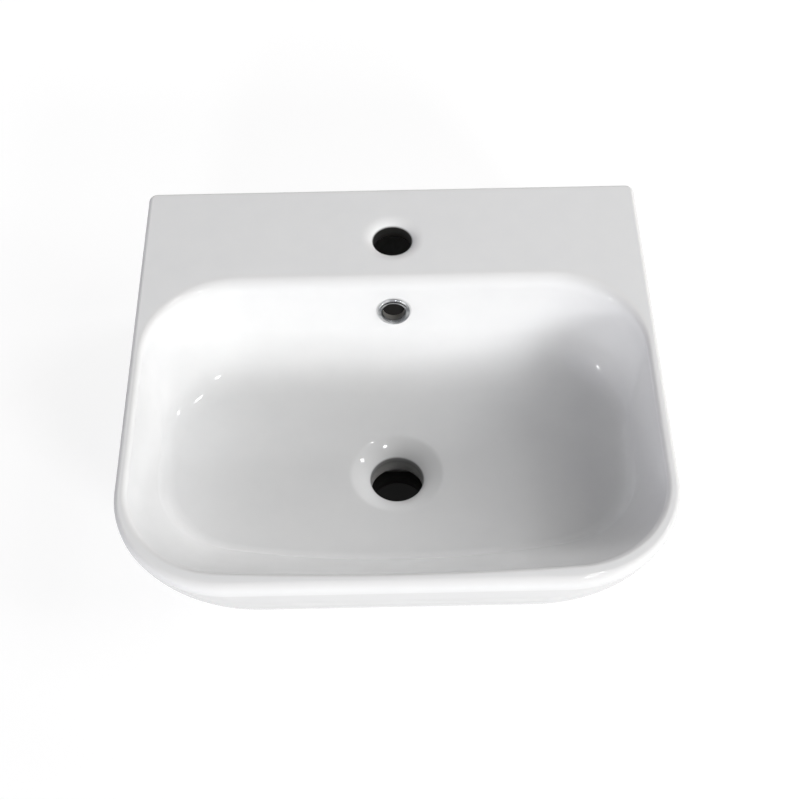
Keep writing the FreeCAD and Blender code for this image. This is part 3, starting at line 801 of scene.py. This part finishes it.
near_bore = bezel_profile[:, 0] < bore + 1.5
below_face = face - bezel_profile[:, 1]
inside_bore = np.interp(below_face, [0.5, 2.0], [0, 1]) * near_bore
# The roll of the bore's mouth gets painted shade.
mouth_painted_shade = np.interp(below_face, [0, 0.2, 1.4, 2.6], [0.3, 1, 1, 0]) * near_bore
bezel = turned("overflow_bezel_ring", bezel_profile, BEZEL_SEGMENTS, "overflow_bezel",
               [("inside_bore", inside_bore), ("mouth_painted_shade", mouth_painted_shade)])

# %% Washer and grip rings
washer_corners = [(washer_bore, 0.0), (washer_radius, 0.0),
                  (washer_radius, washer_thickness), (washer_bore, washer_thickness)]
washer_profile = rounded(washer_corners, 0.2)
washer = turned("overflow_soft_washer", washer_profile, RING_SEGMENTS, "overflow_washer")
round_turn = np.linspace(0, 2 * np.pi, SECTION_POINTS, endpoint=False)
grip_circle = grip_section / 2 * np.stack([np.cos(round_turn), np.sin(round_turn)], axis=1)
grip_rings = [
    turned(name, grip_circle + [grip_radius, grip], RING_SEGMENTS, node)
    for name, grip, node in (("front_rubber_ring", front_grip, "front_grip_ring"),
                             ("rear_rubber_ring", rear_grip, "rear_grip_ring"))]

# %% [markdown]
# Finishes as expressions
#
# A finish is a small formula of where a point lies. Writing each Math node by hand hides the formula, so one
# small class wraps a socket: adding, taking away or multiplying wrapped sockets adds the Math nodes, and one
# method makes any other node.

# %% Sockets that can be added and multiplied
class Value:
    """A node's output socket in a node tree. Arithmetic on it adds Math nodes to the tree."""

    def __init__(self, tree, socket=None):
        self.tree, self.socket = tree, socket

    def node(self, kind, settings, sockets, output=0):
        """Makes a node: its settings first, then a value or a link for each named or numbered socket."""
        made = self.tree.nodes.new(kind)
        for key, value in settings.items():
            setattr(made, key, value)
        feed(made, sockets)
        return Value(self.tree, made.outputs[output])

    def maths(self, operation, first, second):
        """A Math node on two values."""
        return self.node("ShaderNodeMath", {"operation": operation}, {0: first, 1: second})

    def __add__(self, other):
        return self.maths("ADD", self, other)

    def __sub__(self, other):
        return self.maths("SUBTRACT", self, other)

    def __rsub__(self, other):
        return self.maths("SUBTRACT", other, self)

    def __mul__(self, other):
        return self.maths("MULTIPLY", self, other)

    __radd__ = __add__
    __rmul__ = __mul__


def new_finish(name):
    """A material with one Principled shader, and a Value to start its expressions from."""
    material = bpy.data.materials.new(name)
    material.use_nodes = True
    shader = material.node_tree.nodes["Principled BSDF"]
    return material, shader, Value(material.node_tree)


def feed(made, sockets):
    """Links a Value to each named or numbered socket of a node, or sets the socket to a plain value."""
    for key, value in sockets.items():
        if isinstance(value, Value):
            value.tree.links.new(value.socket, made.inputs[key])
        else:
            made.inputs[key].default_value = value


china_finish, china_shader, start = new_finish("white_glazed_china")
print("first finish:", china_finish.name)

# %% [markdown]
# White glaze
#
# Vitreous china is a white body under a clear, slightly milky glass. The glass is smooth, but it lies in
# slow waves of some centimetres and a faint orange peel of some millimetres, which bend its reflections.
# Where an edge has drawn it thin, the body shows a shade warmer. The sole of the foot is bare and rough. The
# walls of the tap hole, the waste and the overflow are matt, and painted shade makes them dark. A
# clear coat over a rough body would do as well, but one gloss over white shows the same with fewer values.


# %% Patterns in the glaze
def object_place(start):
    """Where a point lies on its object, in metres."""
    return start.node("ShaderNodeTexCoord", {}, {}, "Object")


def painted(start, label):
    """A named value that was stored with the mesh's points."""
    return start.node("ShaderNodeAttribute", {"attribute_name": label}, {}, "Fac")


def ramped(start, value, none, full):
    """Rises from 0 to 1 while a value goes from one level to another."""
    return start.node("ShaderNodeMapRange", {}, {"Value": value, "From Min": none, "From Max": full})


def spots(start, place, scale):
    """Distance from the nearest of many scattered spots, with so many of them to the metre."""
    return start.node("ShaderNodeTexVoronoi", {}, {"Vector": place, "Scale": scale})


def noise(start, place, scale, detail=2.0):
    """Soft noise between 0 and 1, with so many waves to the metre."""
    return start.node("ShaderNodeTexNoise", {}, {"Vector": place, "Scale": scale, "Detail": detail})


place = object_place(start)
# The walls of the holes get painted shade from a value stored on the points.
thin_mask, painted_shade_mask = painted(start, "thin_glaze"), painted(start, "painted_hole_shade")
bare = ramped(start, painted(start, "glaze"), 0.75, 0.0)
slow = noise(start, place, 14.0, 0.0)
cloud = noise(start, place, 45.0, 4.0)
peel = noise(start, place, 420.0)
grit = noise(start, place, 1600.0, 6.0)
speck_mask = ramped(start, spots(start, place, 130.0), 0.05, 0.0)
print("nodes for the patterns:", len(china_finish.node_tree.nodes))


# %% Glaze
def mixed(start, factor, first, second):
    """The first colour, or the second where the factor is 1."""
    return start.node("ShaderNodeMix", {"data_type": "RGBA"}, {"Factor": factor, 6: first, 7: second}, 2)


def bumped(start, height_value, distance, under=None):
    """A normal tilted by the slope of a height, which rises by the distance in metres from 0 to 1."""
    sockets = {"Height": height_value, "Distance": distance, "Strength": 1.0}
    if under is not None:
        sockets["Normal"] = under
    return start.node("ShaderNodeBump", {}, sockets)


milk = mixed(start, cloud, (0.80, 0.805, 0.81, 1), (0.84, 0.842, 0.842, 1))
edged = mixed(start, thin_mask * 0.25, milk, (0.80, 0.79, 0.775, 1))
specked = mixed(start, speck_mask * 0.10, edged, (0.45, 0.42, 0.38, 1))
body = mixed(start, grit, (0.66, 0.63, 0.58, 1), (0.78, 0.76, 0.71, 1))
# Painted shade: a near-black colour for the walls of the holes.
painted_shade_colour = mixed(start, grit, (0.006, 0.006, 0.006, 1), (0.018, 0.017, 0.016, 1))
waves = bumped(start, slow, 0.0004, bumped(start, peel, 0.000005))
feed(china_shader, {
    "Base Color": mixed(start, painted_shade_mask, mixed(start, bare, specked, body), painted_shade_colour),
    "Roughness": bare * 0.55 + cloud * 0.05 + painted_shade_mask * 0.9 + 0.05,
    "IOR": 1.52,
    "Normal": bumped(start, grit * bare, 0.0002, waves),
})
for piece in (casting, duct_piece):
    piece.data.materials.append(china_finish)
print("finish:", china_finish.name)

# %% [markdown]
# Chrome and rubber
#
# Plating that has been in use is a mirror. Its colour is set low as painted reflection of a darker room,
# with bright patches as painted reflections of lighter things. A little haze, fine polishing marks and faint
# water spots spread its highlights. The mouth of its bore carries painted shade, and farther in it is pale
# with lime. The rubber rings are matt and dark with a dusty bloom, and the washer is a grey soft silicone. A
# map of scratches could be wrapped round each piece, but noise in Object coordinates needs no map.

# %% Chrome
chrome_finish, chrome_shader, start = new_finish("bright_chrome_plate")
place = object_place(start)
haze = noise(start, place, 260.0, 5.0)
# Painted reflections: a low plate colour for a darker room, with bright patches for lighter things.
painted_reflection_mask = ramped(start, noise(start, place, 95.0, 1.0), 0.42, 0.6)
marks = noise(start, place, 2600.0, 4.0)
spot_mask = ramped(start, spots(start, place, 420.0), 0.25, 0.12)
inside_mask, mouth_painted_shade_mask = painted(start, "inside_bore"), painted(start, "mouth_painted_shade")
dim_painted_reflection = mixed(start, haze, (0.30, 0.31, 0.33, 1), (0.44, 0.45, 0.46, 1))
plate = mixed(start, painted_reflection_mask, dim_painted_reflection, (0.90, 0.91, 0.92, 1))
lined = mixed(start, inside_mask, plate, (0.82, 0.79, 0.73, 1))
# Painted shade darkens the bore's mouth.
feed(chrome_shader, {
    "Base Color": mixed(start, mouth_painted_shade_mask * 0.85, lined, (0.05, 0.055, 0.06, 1)),
    "Metallic": 1.0 - inside_mask * 0.7,
    "Roughness": haze * 0.08 + spot_mask * 0.06 + inside_mask * 0.3 + 0.03,
    "Normal": bumped(start, marks, 0.000004),
})
bezel.data.materials.append(chrome_finish)
print("finish:", chrome_finish.name)


# %% Rubber and silicone
def soft_finish(name, dark, light, roughness):
    """Matt rubber: two tones of dust, and a fine grain."""
    material, shader, start = new_finish(name)
    dust = noise(start, object_place(start), 900.0, 6.0)
    feed(shader, {
        "Base Color": mixed(start, dust, dark, light),
        "Roughness": dust * 0.2 + roughness,
        "Normal": bumped(start, dust, 0.00003),
    })
    print("finish:", name)
    return material


ring_finish = soft_finish("black_ring_rubber", (0.012, 0.012, 0.013, 1), (0.05, 0.05, 0.05, 1), 0.5)
washer_finish = soft_finish("grey_washer_silicone", (0.42, 0.42, 0.41, 1), (0.58, 0.58, 0.56, 1), 0.4)
for ring in grip_rings:
    ring.data.materials.append(ring_finish)
washer.data.materials.append(washer_finish)

# %% [markdown]
# The floor
#
# The object stands on plain white. A floor that is only lit would be grey, and one that only glows would
# have no shadow. This one does both: it keeps a soft shadow, and its glow lifts the rest to white. The glow
# is full for the camera, less in mirrors, and faint where it lights the skirt. A dark sheet inside the foot
# is painted shade with a faint glow: the holes look into a dark hollow, as they do on a closed stand.


# %% Floor and dark sheet
def ray_kinds(start):
    """Two switches: 1 for the camera's own rays, and 1 for these and for rays by way of mirrors or glass."""
    outputs = start.node("ShaderNodeLightPath", {}, {}).socket.node.outputs
    names = ("Is Camera Ray", "Is Glossy Ray", "Is Transmission Ray")
    kinds = [Value(start.tree, outputs[name]) for name in names]
    return kinds[0], start.maths("MINIMUM", sum(kinds), 1.0)


def stage_sheet(name, corners, tone):
    """A flat matt sheet of the stage, which is no piece of the basin. Its glow is still to be fed."""
    mesh = bpy.data.meshes.new(name)
    mesh.from_pydata(corners, [], [range(len(corners))])
    sheet = bpy.data.objects.new(name, mesh)
    bpy.context.scene.collection.objects.link(sheet)
    finish, shader, start = new_finish(name)
    feed(shader, {"Base Color": (tone, tone, tone, 1), "Roughness": 0.9, "Specular IOR Level": 0.0,
                  "Emission Color": (1, 1, 1, 1)})
    mesh.materials.append(finish)
    return shader, start


floor_half, sheet_height = 6.0, 0.2
floor_corners = [(-floor_half, -floor_half, 0), (floor_half, -floor_half, 0),
                 (floor_half, floor_half, 0), (-floor_half, floor_half, 0)]
floor_shader, start = stage_sheet("white_floor", floor_corners, 0.3)
camera_only, camera_or_mirror = ray_kinds(start)
feed(floor_shader, {"Emission Strength": camera_only * 0.18 + camera_or_mirror * 0.45 + 0.17})
# The dark sheet is painted shade in the hollow under the casting, with a faint glow of its own.
sheet_outline = skin_outline(column([height]), skirt_wall / 2)
sheet_corners = lifted(sheet_outline, column([height - sheet_height]))[0] * MM
sheet_shader, start = stage_sheet("painted_shade_sheet_under_basin", sheet_corners.tolist(), 0.012)
feed(sheet_shader, {"Emission Strength": 0.008})
print("floor and dark sheet are stage")

# %% [markdown]
# The room
#
# The room is white to the camera and in mirrors. If it lit the object too, the shades of the bowl would be
# washed out, so that is left to lamps and to a little glow from the floor. The strongest lamps stand on the
# viewer's side, so the walls that face the viewer are brightest and the deck and the floor of the bowl are
# greyer. The sparks are small lamps that only glint in the glaze.

# %% World
world = bpy.data.worlds.new("white_room")
bpy.context.scene.world = world
world.use_nodes = True
camera_or_mirror = ray_kinds(Value(world.node_tree))[1]
feed(world.node_tree.nodes["Background"], {"Color": (1, 1, 1, 1), "Strength": camera_or_mirror})
print("world:", world.name)


# %% Lamps
def aimed(right, up, backward, place):
    """The matrix of a lamp or a camera, which look along their own -Z."""
    return Matrix([*np.column_stack([right, up, backward, place]).tolist(), (0, 0, 0, 1)])


def lamp(name, to_right, rise, away, size, power, colour, spark=False):
    """A square lamp aimed at the bowl: degrees to the viewer's right and up, then metres, metres and watts.
    A spark is seen only in mirrors, and the other lamps never are."""
    to_right, rise = math.radians(to_right), math.radians(rise)
    backward = np.array([math.sin(to_right) * math.cos(rise), -math.cos(to_right) * math.cos(rise),
                         math.sin(rise)])
    right = np.array([math.cos(to_right), math.sin(to_right), 0.0])
    data = bpy.data.lights.new(name, "AREA")
    data.size, data.energy, data.color = size, power, colour
    lamp_object = bpy.data.objects.new(name, data)
    bpy.context.scene.collection.objects.link(lamp_object)
    lamp_object.matrix_world = aimed(right, np.cross(backward, right), backward, lamp_aim + away * backward)
    lamp_object.visible_glossy, lamp_object.visible_diffuse = spark, not spark


lamp_aim = np.array([0.0, 0.0, 0.1])
lamp_away, window_size, sky_size = 6.0, 1.2, 2.4
spark_away, spark_size, spark_power = 2.2, 0.12, 2.4
white, warm, cool, lavender = (1, 1, 1), (1.0, 0.98, 0.94), (0.98, 0.98, 1.0), (0.93, 0.92, 1.0)
for name, to_right, rise, size, power, colour in (
    ("front_window", 30, 20, window_size, 186, white),
    ("left_front_window", -10, 16, window_size, 124, white),
    ("right_window", 70, 26, window_size, 56, warm),
    ("right_high_window", 75, 48, sky_size, 58, white),
    ("left_sky", -75, 12, sky_size, 118, lavender),
    ("right_sky", 120, 30, sky_size, 122, cool),
    ("rear_lamp", 150, 30, sky_size, 56, warm),
    ("upper_rear_lamp", 180, 55, sky_size, 26, white),
):
    lamp(name, to_right, rise, lamp_away, size, power, colour)
for number, (to_right, rise) in enumerate([(128, 72), (110, 47), (44, 68), (-65, 14)]):
    lamp("spark_%d" % number, to_right, rise, spark_away, spark_size, spark_power, white, spark=True)
print("lamps:", len(bpy.data.lights))

# %% [markdown]
# The viewer
#
# The camera could be placed by eye. Here its place in millimetres, its angles in radians and its focal
# length in pixels were fitted to the deck's edge and the holes in the photo, which lie at three heights.

# %% Camera
pitch, roll, yaw = 0.90639, -0.01872, 0.002
camera_place = np.array([2.39, -810.94, 1140.37])
photo_width, focal_length = 800, 1517.46
aim = np.array([math.sin(yaw) * math.cos(pitch), math.cos(yaw) * math.cos(pitch), -math.sin(pitch)])
level_right = np.array([math.cos(yaw), -math.sin(yaw), 0.0])
level_up = np.cross(level_right, aim)
camera_right = math.cos(roll) * level_right + math.sin(roll) * level_up
camera_up = -math.sin(roll) * level_right + math.cos(roll) * level_up
camera_data = bpy.data.cameras.new("viewer")
camera_data.sensor_width = 36.0
camera_data.lens = focal_length / photo_width * camera_data.sensor_width
camera_data.clip_start = 0.01
camera = bpy.data.objects.new("viewer", camera_data)
bpy.context.scene.collection.objects.link(camera)
camera.matrix_world = aimed(camera_right, camera_up, -aim, camera_place * MM)
bpy.context.scene.camera = camera
bpy.context.scene.view_settings.view_transform = "Standard"
print("camera %.0f mm from the deck's middle" % np.linalg.norm(camera_place - [0, 0, height]))
